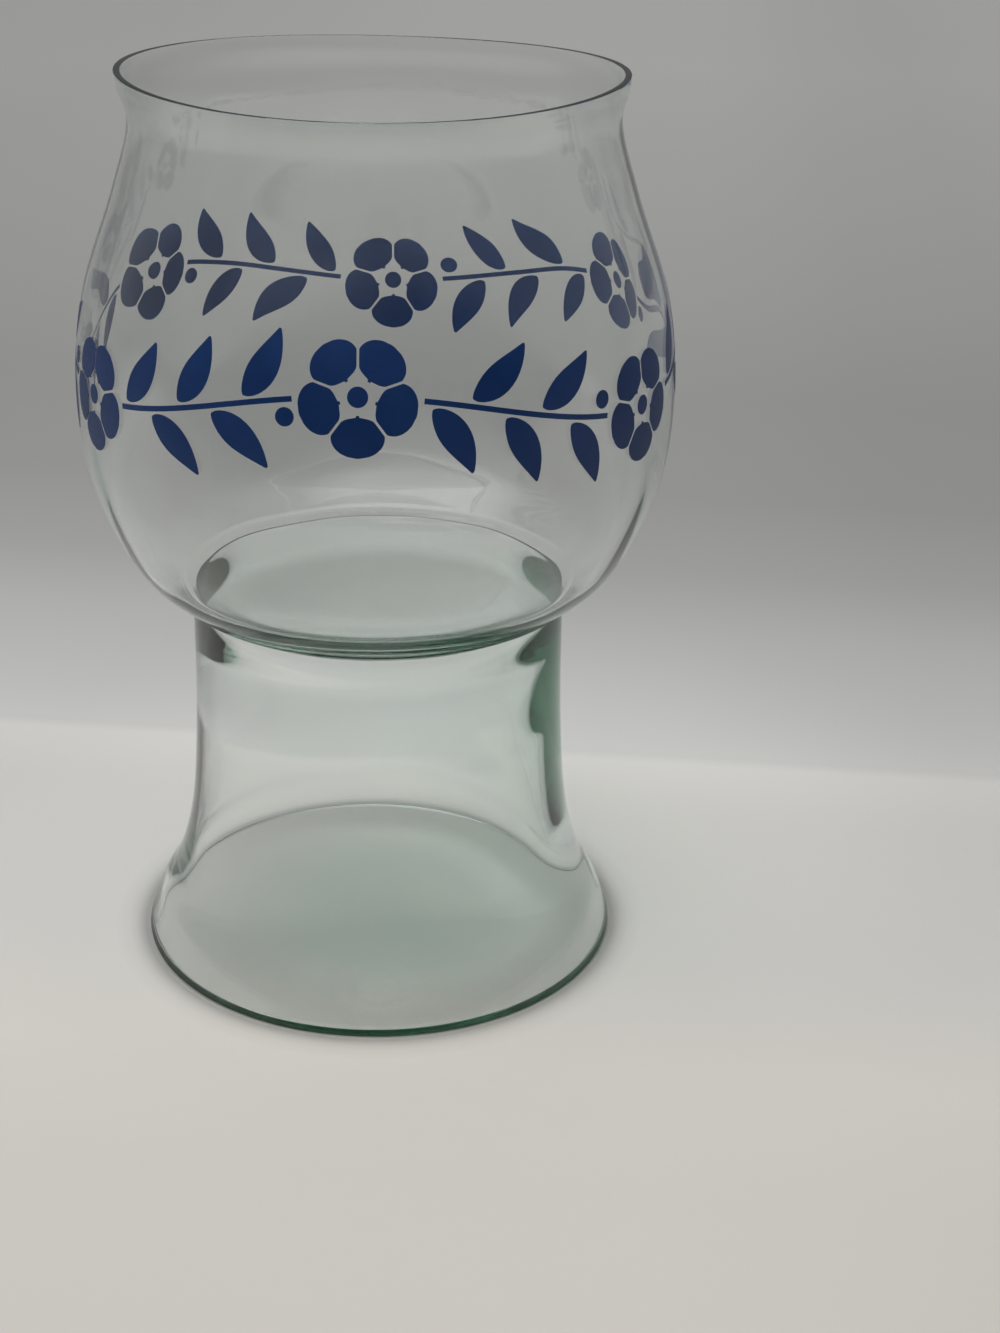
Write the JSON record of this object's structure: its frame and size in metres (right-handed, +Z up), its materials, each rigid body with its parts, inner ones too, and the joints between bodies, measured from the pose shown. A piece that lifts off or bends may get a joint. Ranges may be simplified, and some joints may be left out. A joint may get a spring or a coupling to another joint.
{
  "type": "glass flower vase",
  "caption": "Clear round-bottomed glass bowl with a blue enamel vine, resting in the collar of a hollow, flared, pale green glass base.",
  "frame": {"origin": "middle of the foot, on the surface that the vase stands on", "axes": "+Z up along the axis of the vessel, +X to the right and +Y away from the side that the picture shows"},
  "size_m": [0.1536, 0.1534, 0.2347],
  "materials": {
    "green_glass": "polished, pale green",
    "clear_glass": "polished, clear",
    "blue_enamel": "fired enamel, satin, cobalt blue"
  },
  "bodies": {
    "base": {"base": "green_glass"},
    "bowl": {"bowl": "clear_glass", "blossom_1": "blue_enamel", "blossom_dot_1": "blue_enamel", "stem_1": "blue_enamel", "berry_1": "blue_enamel", "leaf_1_1": "blue_enamel", "leaf_1_2": "blue_enamel", "leaf_1_3": "blue_enamel", "leaf_1_4": "blue_enamel", "leaf_1_5": "blue_enamel", "blossom_2": "blue_enamel", "blossom_dot_2": "blue_enamel", "stem_2": "blue_enamel", "berry_2": "blue_enamel", "leaf_2_1": "blue_enamel", "leaf_2_2": "blue_enamel", "leaf_2_3": "blue_enamel", "leaf_2_4": "blue_enamel", "leaf_2_5": "blue_enamel", "blossom_3": "blue_enamel", "blossom_dot_3": "blue_enamel", "stem_3": "blue_enamel", "berry_3": "blue_enamel", "leaf_3_1": "blue_enamel", "leaf_3_2": "blue_enamel", "leaf_3_3": "blue_enamel", "leaf_3_4": "blue_enamel", "leaf_3_5": "blue_enamel", "blossom_4": "blue_enamel", "blossom_dot_4": "blue_enamel", "stem_4": "blue_enamel", "berry_4": "blue_enamel", "leaf_4_1": "blue_enamel", "leaf_4_2": "blue_enamel", "leaf_4_3": "blue_enamel", "leaf_4_4": "blue_enamel", "leaf_4_5": "blue_enamel", "blossom_5": "blue_enamel", "blossom_dot_5": "blue_enamel", "stem_5": "blue_enamel", "berry_5": "blue_enamel", "leaf_5_1": "blue_enamel", "leaf_5_2": "blue_enamel", "leaf_5_3": "blue_enamel", "leaf_5_4": "blue_enamel", "leaf_5_5": "blue_enamel", "blossom_6": "blue_enamel", "blossom_dot_6": "blue_enamel", "stem_6": "blue_enamel", "berry_6": "blue_enamel", "leaf_6_1": "blue_enamel", "leaf_6_2": "blue_enamel", "leaf_6_3": "blue_enamel", "leaf_6_4": "blue_enamel", "leaf_6_5": "blue_enamel"}
  },
  "joints": [
    {"name": "bowl_lift", "type": "slide", "parent": "base", "child": "bowl", "axis": [0, 0, 1], "range_m": [0, 0.06]}
  ]
}
